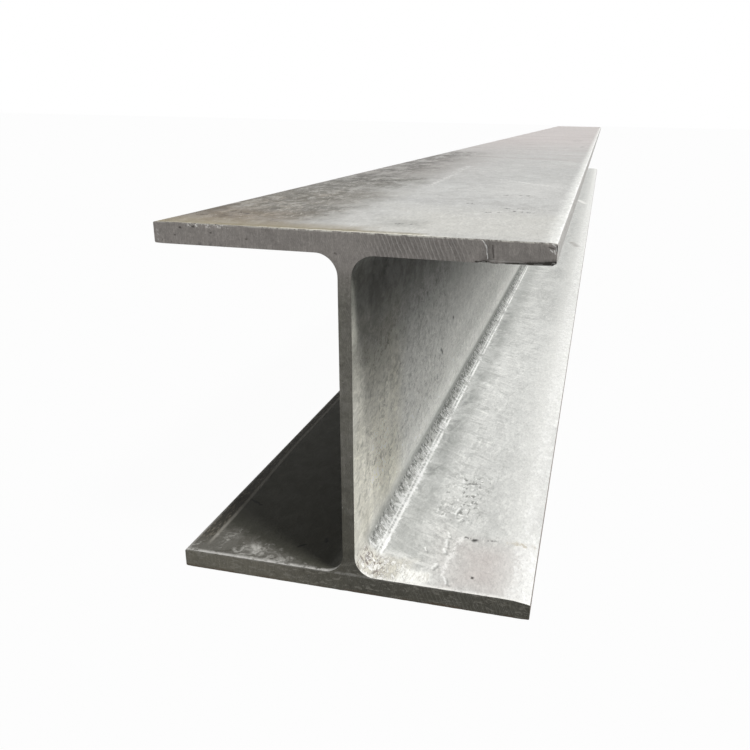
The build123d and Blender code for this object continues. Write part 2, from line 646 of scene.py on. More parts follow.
def zone_group():
    """A soft box round a middle, whose edge wanders."""
    tree, given = new_group("zone", {
        "Vector": (0.0, 0.0, 0.0), "Middle": (0.0, 0.0, 0.0), "Half size": (1.0, 1.0, 1.0),
        "Soft": 0.01, "Wander": 0.0, "Wander scale": 40.0,
    })
    away = vector_node(tree, "SUBTRACT", given["Vector"], given["Middle"])
    past = vector_node(tree, "SUBTRACT", vector_node(tree, "ABSOLUTE", away), given["Half size"])
    past = vector_node(tree, "MAXIMUM", past, (-1.0, -1.0, -1.0))
    parts = node(tree, "ShaderNodeSeparateXYZ", {0: past}).outputs
    most = math_node(tree, "MAXIMUM", math_node(tree, "MAXIMUM", parts[0], parts[1]), parts[2])
    noise = node(tree, "ShaderNodeTexNoise", {
        "Vector": given["Vector"], "Scale": given["Wander scale"], "Detail": 3.0, "Roughness": 0.6,
    })
    shift = math_node(tree, "SUBTRACT", noise.outputs[0], 0.5)
    most = math_node(tree, "ADD", most, math_node(tree, "MULTIPLY", shift, given["Wander"]))
    outside = math_node(tree, "MULTIPLY", given["Soft"], -1.0)
    value = smooth_range(tree, most, outside, given["Soft"], 1.0, 0.0)
    node(tree, "NodeGroupOutput", {0: value})
    return tree


def scratch_group():
    """A line between two places, fading to its ends."""
    tree, given = new_group("scratch", {
        "Vector": (0.0, 0.0, 0.0), "From": (0.0, 0.0, 0.0), "To": (1.0, 0.0, 0.0),
        "Width": 0.001, "Wander": 0.0,
    })
    noise = node(tree, "ShaderNodeTexNoise",
                 {"Vector": given["Vector"], "Scale": SCRATCH_NOISE, "Detail": 2.0})
    shift = vector_node(tree, "SUBTRACT", noise.outputs["Color"], MIDDLE_OF_NOISE)
    place = vector_node(tree, "ADD", given["Vector"], scaled(tree, shift, given["Wander"]))
    run = vector_node(tree, "SUBTRACT", given["To"], given["From"])
    start = vector_node(tree, "SUBTRACT", place, given["From"])
    share = math_node(tree, "DIVIDE", vector_node(tree, "DOT_PRODUCT", start, run),
                      vector_node(tree, "DOT_PRODUCT", run, run))
    share = node(tree, "ShaderNodeClamp", {0: share}).outputs[0]
    away = vector_node(tree, "DISTANCE", start, scaled(tree, run, share))
    value = smooth_range(tree, away, 0.0, given["Width"], 1.0, 0.0)
    node(tree, "NodeGroupOutput", {0: value})
    return tree


def pits_group():
    """Scattered dots of uneven size."""
    tree, given = new_group("pits", {
        "Vector": (0.0, 0.0, 0.0), "Scale": (100.0, 100.0, 100.0), "Size": 0.3, "Share": 0.5,
    })
    place = vector_node(tree, "MULTIPLY", given["Vector"], given["Scale"])
    bend = node(tree, "ShaderNodeTexNoise", {"Vector": place, "Scale": 1.7, "Detail": 2.0})
    bend = vector_node(tree, "SUBTRACT", bend.outputs["Color"], MIDDLE_OF_NOISE)
    place = vector_node(tree, "ADD", place, bend)
    cells = node(tree, "ShaderNodeTexVoronoi", {"Vector": place, "Scale": 1.0})
    pick = node(tree, "ShaderNodeSeparateXYZ", {0: cells.outputs["Color"]}).outputs
    size = math_node(tree, "MULTIPLY_ADD", pick[1], 0.8, 0.4)
    size = math_node(tree, "MULTIPLY", given["Size"], size)
    core = math_node(tree, "MULTIPLY", size, 0.4)
    dot = smooth_range(tree, cells.outputs["Distance"], core, size, 1.0, 0.0)
    here = math_node(tree, "LESS_THAN", pick[0], given["Share"])
    node(tree, "NodeGroupOutput", {0: math_node(tree, "MULTIPLY", dot, here)})
    return tree


groups = {
    "streaks": streaks_group(), "zone": zone_group(), "scratch": scratch_group(),
    "pits": pits_group(),
}
print("shader groups:", ", ".join(groups))

# %% [markdown]
# ## A painter for steel
#
# A material is built in layers, as a painter would: a ground colour, then layers that each
# have a colour, a mask and a strength. The painter keeps the tree, the place on the beam, the
# colour so far and the area that is being painted. Sizes and places are in millimetres, and
# places along the beam are measured from the near end. Layers of one kind are rows of a
# table, laid in order.

# %% The painter
class Painter:
    """Builds a material in layers of colour and keeps its bump height."""

    def __init__(self, material, ground):
        material.use_nodes = True
        self.name = material.name
        self.tree = material.node_tree
        self.tree.nodes.clear()
        self.place = node(self.tree, "ShaderNodeTexCoord").outputs["Object"]
        parts = node(self.tree, "ShaderNodeSeparateXYZ", {0: self.place}).outputs
        self.x, self.y, self.z = parts
        self.behind = math_node(self.tree, "SUBTRACT", self.y, near_end)
        facing = node(self.tree, "ShaderNodeNewGeometry").outputs["Normal"]
        self.facing = node(self.tree, "ShaderNodeSeparateXYZ", {0: facing}).outputs
        self.colour = node(self.tree, "ShaderNodeRGB").outputs[0]
        self.colour.default_value = (*ground, 1)
        self.heights = []
        self.area = ()

    def group(self, name, **values):
        """The value of a shared group at the place on the beam."""
        new = node(self.tree, "ShaderNodeGroup", node_tree=groups[name])
        values.setdefault("vector", self.place)
        for label, value in values.items():
            label = label.replace("_", " ").capitalize()
            if isinstance(value, bpy.types.NodeSocket):
                self.tree.links.new(value, new.inputs[label])
            else:
                new.inputs[label].default_value = value
        return new.outputs[0]

    def streaks(self, size_mm, low=0.35, high=0.65, shift=0.0, detail=2.0, bend=0.0, rough=0.6,
                place=None):
        """Noise whose features are size_mm long on each axis, from 0 at low to 1 at high."""
        scale = tuple(1000.0 / size for size in size_mm)
        return self.group("streaks", scale=scale, shift=(shift, shift, shift), detail=detail,
                          bend=bend, rough=rough, low=low, high=high, vector=place or self.place)

    def zone(self, low_mm, high_mm, soft_mm, wander_mm=0.0, wander_scale=40.0):
        """A soft box, given by its low and high corners."""
        low = np.array(low_mm) / 1000 + (0, near_end, 0)
        high = np.array(high_mm) / 1000 + (0, near_end, 0)
        return self.group("zone", middle=tuple((low + high) / 2), half_size=tuple((high - low) / 2),
                          soft=soft_mm / 1000, wander=wander_mm / 1000, wander_scale=wander_scale)

    def scratch(self, start_mm, end_mm, width_mm, wander_mm=0.6):
        """A line from one place to another."""
        start = np.array(start_mm) / 1000 + (0, near_end, 0)
        end = np.array(end_mm) / 1000 + (0, near_end, 0)
        return self.group("scratch", **{"from": tuple(start)}, to=tuple(end),
                          width=width_mm / 1000, wander=wander_mm / 1000)

    def pits(self, size_mm, size=0.3, share=0.5):
        """Dots about size_mm apart."""
        return self.group("pits", scale=tuple(1000.0 / s for s in size_mm), size=size, share=share)

    def times(self, *values):
        """The product of several masks."""
        total = values[0]
        for value in values[1:]:
            total = math_node(self.tree, "MULTIPLY", total, value)
        return total

    def most(self, *values):
        """The strongest of several masks."""
        total = values[0]
        for value in values[1:]:
            total = math_node(self.tree, "MAXIMUM", total, value)
        return total

    def without(self, value):
        """One minus a mask."""
        return math_node(self.tree, "SUBTRACT", 1.0, value)

    def soft(self, value, low, high):
        """A soft step of any value."""
        return smooth_range(self.tree, value, low, high)

    def layer(self, colour, mask, strength=1.0):
        """Lay a colour over what is there."""
        mask = math_node(self.tree, "MULTIPLY", mask, strength)
        mix = node(self.tree, "ShaderNodeMix", {0: mask, 6: self.colour}, data_type="RGBA")
        if isinstance(colour, tuple):
            mix.inputs[7].default_value = (*colour, 1)
        else:
            self.tree.links.new(colour, mix.inputs[7])
        self.colour = mix.outputs[2]

    def shade(self, amount, mask):
        """Make what is there lighter or darker where the mask is full."""
        factor = smooth_range(self.tree, mask, 0.0, 1.0, 1.0, amount)
        self.colour = scaled(self.tree, self.colour, factor)

    def within(self, *masks):
        """The product of some masks and the area that is being painted."""
        return self.times(*self.area, *masks)

    def wash(self, colour, strength, *masks):
        """Lay a colour over the area where the masks let it through."""
        self.layer(colour, self.within(*masks), strength)

    def tone(self, amount, *masks):
        """Make the area lighter or darker where the masks let it through."""
        self.shade(amount, self.within(*masks))

    def patches(self, *rows):
        """Wash soft boxes; a row has a colour, a strength and what zone takes."""
        for colour, strength, *box in rows:
            self.wash(colour, strength, self.zone(*box))

    def shades(self, *rows):
        """Tone soft boxes; a row has an amount and what zone takes."""
        for amount, *box in rows:
            self.tone(amount, self.zone(*box))

    def clouds(self, *rows):
        """Wash noise; a row has a colour, a strength and what streaks takes."""
        for colour, strength, *noise in rows:
            self.wash(colour, strength, self.streaks(*noise))

    def rubs(self, colour, strength, wander_mm, lines, *masks):
        """Wash short lines; each has a start, an end and a width."""
        for start, end, wide in lines:
            self.wash(colour, strength, self.scratch(start, end, wide, wander_mm), *masks)

    def raise_by(self, millimetres, mask):
        """Raise the surface where the mask is full, or sink it."""
        self.heights.append(math_node(self.tree, "MULTIPLY", mask, millimetres / 1000))

    def finish(self, roughness, metallic=0.0, specular=0.12):
        """Join colour, roughness and bump in one Principled shader."""
        height = self.heights[0]
        for other in self.heights[1:]:
            height = math_node(self.tree, "ADD", height, other)
        bump = node(self.tree, "ShaderNodeBump",
                    {"Height": height, "Strength": 1.0, "Distance": 1.0})
        shader = node(self.tree, "ShaderNodeBsdfPrincipled", {
            "Base Color": self.colour, "Roughness": roughness, "Metallic": metallic,
            "Specular IOR Level": specular, "Normal": bump.outputs[0],
        })
        node(self.tree, "ShaderNodeOutputMaterial", {0: shader.outputs[0]})

# %% [markdown]
# ## The rolled skin
#
# The mill leaves pale grey steel with clouds, faint bands across the rolling direction and
# fine grain. The skin has three materials that share this ground: one for the upper flange,
# one for the right side and one for the left. One material for all would be too large for the
# renderer. The upper flange has dark smudges, a tan stain near its left corner and a painted
# sheen that brightens its middle. The web is painted darker towards the top as shade, and
# lighter near the cut as light. The lower right flange is pale with a painted sheen, brightest
# beside its tip, and the root beside it has two bright strands of burnished steel with a painted
# highlight. The lower left flange is painted dark, as shade over dark scale, with a band of dust
# near the saw cut that is painted lighter where the sun reaches it.

# %% The ground and the grain of the rolled skin
class SkinPainter(Painter):
    """A painter that starts from the ground of the rolled skin and ends with its grain."""

    def __init__(self, material):
        super().__init__(material, (0.53, 0.53, 0.515))
        self.clouds(
            ((0.61, 0.61, 0.59), 0.60, (130, 190, 130), 0.35, 0.65, 3.0, 6.0),
            ((0.42, 0.415, 0.40), 0.40, (30, 36, 30), 0.47, 0.60, 8.0, 8.0, 0.8, 0.72),
        )
        self.crisp = self.streaks((7, 12, 7), 0.46, 0.58, shift=1.0, detail=6.0, rough=0.80)
        self.up = self.soft(self.facing[2], 0.50, 0.85)
        self.low = self.without(self.soft(self.z, 0.030, 0.050))

    def paint_tips(self, colour, rust):
        """The edges of the flanges, with a little rust."""
        tip = self.soft(math_node(self.tree, "ABSOLUTE", self.facing[0]), 0.75, 0.95)
        outside = self.soft(math_node(self.tree, "ABSOLUTE", self.x), 0.150, 0.160)
        self.layer(colour, self.times(tip, outside), 0.85)
        stains = self.streaks((5, 16, 4), 0.50, 0.60, shift=4.0, detail=6.0, rough=0.75)
        self.layer((0.22, 0.14, 0.095), self.times(tip, outside, stains), rust)

    def paint_burr(self, colour, place):
        """The thin burr that the saw leaves along the cut."""
        at_cut = self.without(self.soft(self.behind, 0.0015, 0.0060))
        burr = self.streaks((7, 7, 7), 0.34, 0.50, shift=6.0, detail=4.0, rough=0.75)
        self.layer(colour, self.times(at_cut, burr, place), 0.80)

    def finish_skin(self, grain_mm, uneven=1.0):
        """Fleck, grain and roughness over everything."""
        fleck_mm = np.array(grain_mm) * 2.5
        fleck = self.streaks(fleck_mm, 0.50, 0.62, shift=1.0, detail=6.0, rough=0.75)
        self.shade(1.10, fleck)
        grain = self.streaks(grain_mm, 0.46, 0.62, shift=2.0, detail=4.0, rough=0.80)
        self.shade(0.88, grain)
        self.raise_by(-0.040, grain)
        self.raise_by(0.070 * uneven, self.streaks((9, 14, 9), 0.30, 0.70, shift=6.0, detail=4.0))
        patches = self.streaks((16, 22, 16), 0.35, 0.65, shift=11.0)
        spread = 0.10 * uneven
        self.finish(smooth_range(self.tree, patches, 0.0, 1.0, 0.62 - spread, 0.62 + spread))
        print(self.name, "has", len(self.tree.nodes), "nodes")


# %% Upper flange: tones
skin = SkinPainter(upper_skin)
crisp = skin.crisp
skin.area = (skin.times(skin.up, skin.soft(skin.z, 0.336, 0.342)),)
# The near left is painted darker: dark scale, and less of the painted sheen that brightens the
# middle
darker_near_left = skin.times(skin.without(skin.soft(skin.x, -0.110, 0.000)),
                       skin.without(skin.soft(skin.behind, 0.500, 1.500)))
skin.wash((0.225, 0.213, 0.190), 0.78, darker_near_left)
skin.patches(
    # Warm on the left, a painted sheen bright in the middle and lighter behind that, and brown at
    # the back left
    ((0.32, 0.280, 0.225), 0.48, (-190, 40, 300), (-60, 300, 400), 60, 60, 20.0),
    ((0.645, 0.636, 0.592), 0.72, (10, -10, 300), (190, 170, 400), 70, 80, 12.0),
    ((0.69, 0.685, 0.66), 0.55, (66, 330, 300), (146, 520, 400), 50, 60, 12.0),
    ((0.39, 0.365, 0.35), 0.55, (-190, 600, 300), (-60, 2400, 400), 160, 160, 9.0),
)
skin.wash((0.61, 0.55, 0.535), 0.60, skin.soft(skin.behind, 0.9, 2.6))
far_band = skin.streaks((260, 90, 60), 0.48, 0.66, shift=6.0, detail=5.0, rough=0.70)
skin.wash((0.43, 0.39, 0.38), 0.45, skin.soft(skin.behind, 0.5, 1.2), far_band)

# %% Upper flange: smudges and stains
smudge = skin.streaks((34, 70, 34), 0.42, 0.53, shift=2.0, detail=9.0, bend=0.3, rough=0.80)
smudge_place = skin.zone((-190, 110, 300), (-62, 520, 400), 50, 150, 16.0)
smudge_far = skin.zone((-190, 450, 300), (-100, 1350, 400), 60, 150, 14.0)
smudge_near = skin.zone((-125, 60, 300), (-45, 165, 400), 22, 60, 40.0)
skin.wash((0.110, 0.105, 0.090), 0.76, smudge_place, smudge)
skin.wash((0.115, 0.110, 0.100), 0.85, smudge_far, smudge)
skin.wash((0.125, 0.121, 0.108), 0.74, smudge_near, smudge)
rubbed = skin.streaks((12, 30, 12), 0.50, 0.62, shift=9.0, detail=7.0, bend=0.5, rough=0.74)
rubbed_place = skin.most(smudge_place, smudge_far, smudge_near)
skin.wash((0.52, 0.505, 0.470), 0.45, rubbed_place, rubbed)
stain = skin.zone((-190, -10, 300), (-78, 100, 400), 42, 70, 30.0)
skin.wash((0.225, 0.186, 0.142), 0.85, stain)
skin.wash((0.42, 0.375, 0.315), 0.45, stain, rubbed)
salt = skin.streaks((3.2, 8, 3.2), 0.585, 0.63, shift=51.0, detail=5.0, rough=0.74)
salted = skin.most(stain, smudge_place, smudge_near)
skin.wash((0.62, 0.605, 0.56), 0.62, salted, salt)
stain_specks = skin.streaks((5, 11, 5), 0.55, 0.61, shift=31.0, detail=5.0, rough=0.72)
skin.wash((0.085, 0.070, 0.055), 0.60, stain, stain_specks)
left_rim = skin.zone((-190, 50, 300), (-140, 200, 400), 24, 40, 30.0)
skin.wash((0.13, 0.112, 0.090), 0.75, left_rim, smudge)
dirty = (((-158, 54, 350), (-131, 58, 350), 7), ((-141, 88, 350), (-120, 74, 350), 8))
skin.rubs((0.060, 0.048, 0.038), 0.95, 6.0, dirty, crisp)
skin.patches(
    # The stain's tan edge along the cut, and a thin darker one in front of it
    ((0.325, 0.285, 0.215), 0.78, (-185, -10, 300), (12, 30, 400), 18, 34, 40.0),
    ((0.275, 0.240, 0.160), 0.78, (-185, -10, 300), (66, 11, 400), 6, 12, 60.0),
)
white_edge = skin.zone((34, -5, 300), (66, 7, 400), 4, 12, 90.0)
skin.wash((0.90, 0.89, 0.78), 0.70, white_edge, crisp)
skin.patches(((0.38, 0.38, 0.355), 0.60, (16, 45, 300), (52, 84, 400), 14, 30, 50.0))

# %% Upper flange: marks and the bright edge
for line_y, start_x, end_x, drift in (
    (340, 84, 124, 4), (208, 107, 136, 1), (168, 95, 105, 4), (188, 117, 139, -8), (238, 62, 70, 0),
    (60, 30, 44, 2),
):
    dashes = skin.scratch((start_x, line_y, 350), (end_x, line_y + drift, 350), 6.0, wander_mm=5.0)
    broken = skin.streaks((2.8, 30, 5), 0.50, 0.56, shift=line_y / 40, detail=4.0, rough=0.7)
    skin.wash((0.10, 0.095, 0.09), 0.90, dashes, broken)
pale_rubs = (
    ((-20, 405, 350), (-29, 610, 350), 9), ((-29, 610, 350), (-38, 830, 350), 12),
    ((60, 120, 350), (128, 205, 350), 8), ((60, 560, 350), (150, 470, 350), 14),
)
skin.rubs((0.80, 0.795, 0.77), 0.65, 9.0, pale_rubs, crisp)
edge_wander = skin.streaks((14, 22, 14), 0.25, 0.75, shift=5.0, detail=4.0, rough=0.70)
edge_start = math_node(skin.tree, "MULTIPLY_ADD", edge_wander, 0.006, 0.1600)
past_edge = math_node(skin.tree, "SUBTRACT", skin.x, edge_start)
skin.wash((0.93, 0.935, 0.90), 0.66, skin.soft(past_edge, -0.004, 0.009))
bright_rim = skin.soft(math_node(skin.tree, "ADD", past_edge, -0.0085), 0.000, 0.003)
skin.wash((1.0, 1.0, 0.975), 0.80, bright_rim)
skin.layer((0.13, 0.12, 0.115), skin.scratch((92, 2395, 350), (122, 2440, 350), 14, 3.0), 0.7)
skin.layer((0.16, 0.15, 0.145), skin.scratch((139, 1850, 350), (142, 1880, 350), 9, 3.0), 0.8)

skin.paint_tips((0.66, 0.65, 0.62), 0.25)
burr_place = skin.within(smooth_range(skin.tree, skin.x, -0.110, -0.030, 0.22, 0.90),
                         skin.without(skin.soft(skin.x, 0.070, 0.100)))
skin.paint_burr((0.95, 0.92, 0.82), burr_place)
skin.finish_skin((2.0, 7.5, 2.4))

# %% Lower right flange: clouds and strokes
skin = SkinPainter(right_skin)
crisp = skin.crisp
floor_right = skin.times(skin.up, skin.low)
near_web = skin.without(skin.soft(skin.x, 0.100, 0.120))
web_right = skin.times(skin.soft(skin.facing[0], 0.30, 0.70), near_web)
slanted = node(skin.tree, "ShaderNodeVectorRotate",
               {"Vector": skin.place, "Angle": math.radians(31)}, rotation_type="Z_AXIS").outputs[0]
by_root = smooth_range(skin.tree, skin.x, 0.050, 0.120, 0.55, 0.20)
skin.area = (floor_right,)
# The pale ground and the bright patches here are partly a painted sheen
skin.wash((0.58, 0.585, 0.565), 0.75)
skin.wash((0.66, 0.665, 0.645), 0.60, skin.soft(skin.behind, 0.200, 0.700))
skin.patches(
    ((0.78, 0.785, 0.76), 0.38, (84, 160, 0), (140, 270, 30), 26, 30, 20.0),
    ((0.82, 0.825, 0.80), 0.50, (70, 330, 0), (190, 900, 30), 110, 60, 12.0),
)
skin.clouds(
    # Light and dark clouds, strokes, feathers that slant away from the root, and grain
    ((0.76, 0.765, 0.74), 0.45, (50, 120, 30), 0.44, 0.60, 4.0, 6.0, 0.8, 0.62),
    ((0.42, 0.425, 0.41), 0.36, (46, 110, 30), 0.50, 0.66, 14.0, 6.0, 0.8, 0.62),
    ((0.92, 0.92, 0.89), 0.42, (11, 34, 12), 0.52, 0.62, 6.0, 6.0, 1.6, 0.68),
    ((0.36, 0.365, 0.35), 0.34, (11, 34, 12), 0.52, 0.64, 16.0, 6.0, 1.6, 0.68),
    ((0.92, 0.92, 0.89), by_root, (42, 11, 12), 0.50, 0.62, 26.0, 7.0, 1.0, 0.68, slanted),
    ((0.36, 0.365, 0.35), by_root, (36, 10, 12), 0.52, 0.64, 46.0, 7.0, 1.0, 0.68, slanted),
    ((0.86, 0.86, 0.83), 0.26, (4.5, 9, 4), 0.50, 0.60, 36.0, 5.0, 0.6, 0.72),
)
# Painted shade: a darker band along the root, the whole length
skin.patches(((0.38, 0.39, 0.375), 0.55, (22, 50, 0), (52, 6100, 30), 14, 24, 30.0))
smear_place = skin.zone((20, 170, 0), (40, 1100, 30), 12, 26, 30.0)
smears = skin.streaks((26, 46, 14), 0.42, 0.64, shift=41.0, detail=7.0, bend=1.4, rough=0.66)
skin.wash((0.205, 0.21, 0.20), 0.62, smear_place, smears)

# %% Lower right flange: the side by the tip, with a painted sheen
skin.wash((0.86, 0.86, 0.83), 0.74, skin.soft(skin.x, 0.112, 0.160))
skin.patches(((0.60, 0.530, 0.505), 0.62, (96, 6, 0), (146, 78, 40), 40, 40, 25.0))
skin.tone(0.92, skin.soft(skin.behind, 0.800, 1.300))
near_tip = skin.zone((163, -10, 0), (190, 90, 40), 14, 16, 40.0)
# Painted sheen beside the tip
skin.wash((0.97, 0.97, 0.945), 0.80, near_tip)
skin.wash((0.97, 0.97, 0.95), 0.65, skin.soft(skin.x, 0.146, 0.158), crisp)
skin.patches(((0.56, 0.56, 0.545), 0.35, (168, 130, 0), (190, 420, 30), 9, 16, 30.0))
skin.wash((0.30, 0.27, 0.25), 0.70, near_tip, skin.pits((5, 9, 5), 0.30, 0.30))

# %% Lower right flange: pits and scratches
pitted = skin.within(skin.zone((60, 128, 0), (103, 232, 40), 16, 30))
pit_noise = skin.streaks((5.5, 9, 5), 0.56, 0.60, shift=23.0, detail=5.0, bend=0.3, rough=0.62)
dark_pits = skin.times(pitted, pit_noise)
skin.layer((0.20, 0.205, 0.19), dark_pits, 0.74)
pit_bright = skin.streaks((5.5, 9, 5), 0.56, 0.61, shift=23.35, detail=5.0, bend=0.3, rough=0.62)
skin.layer((0.98, 0.98, 0.96), skin.times(pitted, pit_bright), 0.90)
for start, end, wide in (
    ((77.8, 141, 19), (81.0, 156, 19), 2.6), ((78.0, 100, 19), (81.0, 92, 19), 2.4),
    ((79.0, 86, 19), (81.5, 74, 19), 2.4), ((80.2, 68, 19), (82.0, 62, 19), 2.6),
    ((75.0, 32, 19), (78.0, 40, 19), 2.4), ((84.0, 128, 19), (88.0, 132, 19), 1.8),
    ((90.0, 20, 19), (94.0, 10, 19), 2.0), ((60.0, 66, 19), (63.0, 60, 19), 1.6),
):
    shadow_start = (start[0] + 2.8, start[1] - 3.5, 19)
    shadow_end = (end[0] + 2.8, end[1] - 3.5, 19)
    skin.layer((0.24, 0.245, 0.235), skin.scratch(shadow_start, shadow_end, wide, 4.0), 0.60)
    skin.layer((0.98, 0.98, 0.96), skin.scratch(start, end, wide, 4.0), 0.85)
long_rubs = (
    ((83.9, 451, 19), (94.5, 500, 19), 3.2), ((82.0, 597, 19), (93.6, 570, 19), 3.0),
    ((92.4, 610, 19), (101.2, 639, 19), 5.0), ((48.3, 572, 19), (79.4, 514, 19), 11.0),
    ((91.3, 735, 19), (96.1, 761, 19), 7.0),
)
skin.rubs((0.95, 0.95, 0.925), 0.62, 9.0, long_rubs, crisp)
wipe = skin.scratch((93.0, 98, 19), (87.0, 22, 19), 6.0, 7.0)
skin.layer((0.96, 0.95, 0.93), skin.times(wipe, crisp), 0.80)
spot = skin.scratch((107.4, 91.4, 19), (109.2, 92.6, 19), 4.6, 1.8)
skin.layer((0.020, 0.020, 0.018), spot, 0.95)
dot = skin.zone((115.2, 23.6, 0), (117.8, 27.4, 40), 0.8, 1.5, 300.0)
skin.layer((0.035, 0.030, 0.028), dot, 0.90)
dash_line = skin.most(skin.scratch((120, 94.0, 19), (135, 97.0, 19), 2.6, 2.0),
                      skin.scratch((98, 95.5, 19), (105, 94.0, 19), 2.6, 2.0))
dash_noise = skin.streaks((2.4, 5, 3), 0.47, 0.53, shift=33.0, detail=4.0, rough=0.7)
skin.layer((0.07, 0.07, 0.065), skin.times(dash_line, dash_noise), 0.85)
ochre = skin.zone((140, 92, 0), (170, 99, 40), 3, 14, 90.0)
skin.wash((0.50, 0.44, 0.32), 0.75, ochre, crisp)
skin.rubs((0.97, 0.96, 0.93), 0.80, 8.0, [((104, 3480, 19), (140, 3330, 19), 22)])
skin.rubs((0.38, 0.36, 0.34), 0.60, 12.0, [((126, 2080, 19), (146, 2000, 19), 18)])

# %% The web, with painted shade and light
skin.area = (web_right,)
skin.wash((0.95, 0.95, 0.905), 0.97)
skin.patches(((0.92, 0.875, 0.69), 0.80, (0, -20, 55), (9, 150, 270), 60, 50, 20.0))
skin.shades(
    # Painted shade and light: darker low by the cut, lighter high by it and behind it, and darker
    # far away
    (0.74, (0, -20, 20), (9, 47, 176), 12, 12),
    (1.24, (0, -20, 204), (9, 62, 290), 20, 14),
    (1.25, (0, 58, 85), (9, 120, 180), 20, 14),
    (0.76, (0, 420, 150), (9, 1100, 230), 60, 40, 10.0),
    (0.87, (0, 520, 40), (9, 1000, 110), 50, 40, 10.0),
)
# Painted shade: the web darker towards the top, under the upper flange
skin.wash((0.070, 0.070, 0.061), 1.0, skin.soft(skin.z, 0.098, 0.298))
pocked = skin.zone((0, 20, 80), (9, 420, 240), 60, 60, 20.0)
web_strokes = skin.streaks((30, 19, 9), 0.51, 0.59, shift=5.0, detail=6.0, bend=0.8, rough=0.74)
skin.tone(0.86, web_strokes)
flecks = skin.streaks((30, 11, 6.5), 0.53, 0.58, shift=25.0, detail=4.0, bend=0.8, rough=0.66)
web_flecks = skin.within(pocked, flecks)
skin.shade(0.62, web_flecks)
web_pale = skin.streaks((30, 17, 8), 0.50, 0.60, shift=15.0, detail=6.0, bend=0.8, rough=0.74)
skin.tone(1.18, web_pale)
web_pits = skin.within(pocked, skin.pits((11, 15, 12), 0.50, 0.42))
skin.shade(0.55, web_pits)
web_marks = skin.streaks((60, 13, 15), 0.585, 0.615, shift=52.0, detail=4.0, bend=1.0, rough=0.66)
web_marks = skin.within(pocked, web_marks)
skin.shade(0.50, web_marks)
for start, end in (((6, 479, 153), (6, 486, 151)), ((6, 395, 128), (6, 408, 119))):
    skin.layer((0.05, 0.05, 0.045), skin.scratch(start, end, 4.0, 2.0), 0.80)
skin.shades(
    # Painted light where the sun reaches past the cut: the corner under the upper flange, and the
    # bright rim along the cut, which is partly a burr
    (1.55, (-5, -10, 262), (9, 52, 330), 18, 14, 40.0),
    (2.4, (-5, -20, 252), (9, 10, 301), 16, 10),
)

# %% The root beside the web
root_patches = skin.streaks((400, 75, 400), 0.35, 0.58, shift=5.0, detail=3.0)
in_root = skin.times(skin.low, skin.soft(skin.behind, 0.030, 0.050))
root_tone = skin.times(in_root, skin.without(skin.soft(skin.x, 0.0205, 0.0235)))
skin.layer((0.43, 0.435, 0.415), root_tone, 0.90)
across = smooth_range(skin.tree, skin.x, 0.0070, 0.0210)
nearness = smooth_range(skin.tree, skin.behind, 0.08, 0.50, 1.0, 0.0)
dark_level = math_node(skin.tree, "MULTIPLY_ADD", across, 0.16, 0.435)
dark_level = math_node(skin.tree, "MULTIPLY_ADD", nearness, 0.05, dark_level)
dark_top = math_node(skin.tree, "ADD", dark_level, 0.07)
root_dark = skin.streaks((6.5, 6.5, 6.5), dark_level, dark_top, shift=3.0, detail=6.0, rough=0.76)
skin.shade(0.78, skin.zone((4, 30, 20), (15, 125, 62), 14, 10))
mottled = skin.times(in_root, skin.soft(skin.x, 0.0060, 0.0070),
                     skin.without(skin.soft(skin.x, 0.0270, 0.0290)))
dark_root = skin.times(mottled, root_dark, skin.without(skin.soft(skin.x, 0.0200, 0.0230)))
skin.layer((0.12, 0.125, 0.115), dark_root, 0.85)
white_level = math_node(skin.tree, "MULTIPLY_ADD", across, -0.078, 0.568)
white_level = math_node(skin.tree, "MULTIPLY_ADD", nearness, -0.065, white_level)
past_line = skin.soft(skin.x, 0.0205, 0.0260)
white_level = math_node(skin.tree, "MULTIPLY_ADD", past_line, 0.20, white_level)
white_top = math_node(skin.tree, "ADD", white_level, 0.08)
root_strokes = skin.streaks((8, 7, 8), white_level, white_top, shift=7.0, detail=6.0, bend=0.6,
                            rough=0.74)
skin.layer((0.93, 0.935, 0.92), skin.times(mottled, root_strokes), 0.72)
# Two bright strands along the root: burnished steel with a painted highlight
line_noise = skin.streaks((14, 10, 14), 0.25, 0.75, shift=17.0, detail=5.0, rough=0.70)
for middle, wide, strength in ((0.0158, 0.0013, 0.62), (0.0200, 0.0022, 0.92)):
    line_away = math_node(skin.tree, "ABSOLUTE", math_node(skin.tree, "SUBTRACT", skin.x, middle))
    reach = smooth_range(skin.tree, line_noise, 0.0, 1.0, wide * 0.7, wide * 1.3)
    line = skin.without(skin.soft(math_node(skin.tree, "DIVIDE", line_away, reach), 0.2, 1.0))
    burnished_highlight = skin.times(in_root, line, skin.most(nearness, root_patches))
    skin.layer((0.99, 0.99, 0.97), burnished_highlight, strength)
top_of_root = math_node(skin.tree, "ABSOLUTE", math_node(skin.tree, "SUBTRACT", skin.z, 0.0360))
thin_line = skin.times(near_web, skin.soft(skin.behind, 0.030, 0.500),
                       skin.without(skin.soft(top_of_root, 0.0010, 0.0050)))
skin.layer((0.22, 0.225, 0.21), thin_line, 0.50)

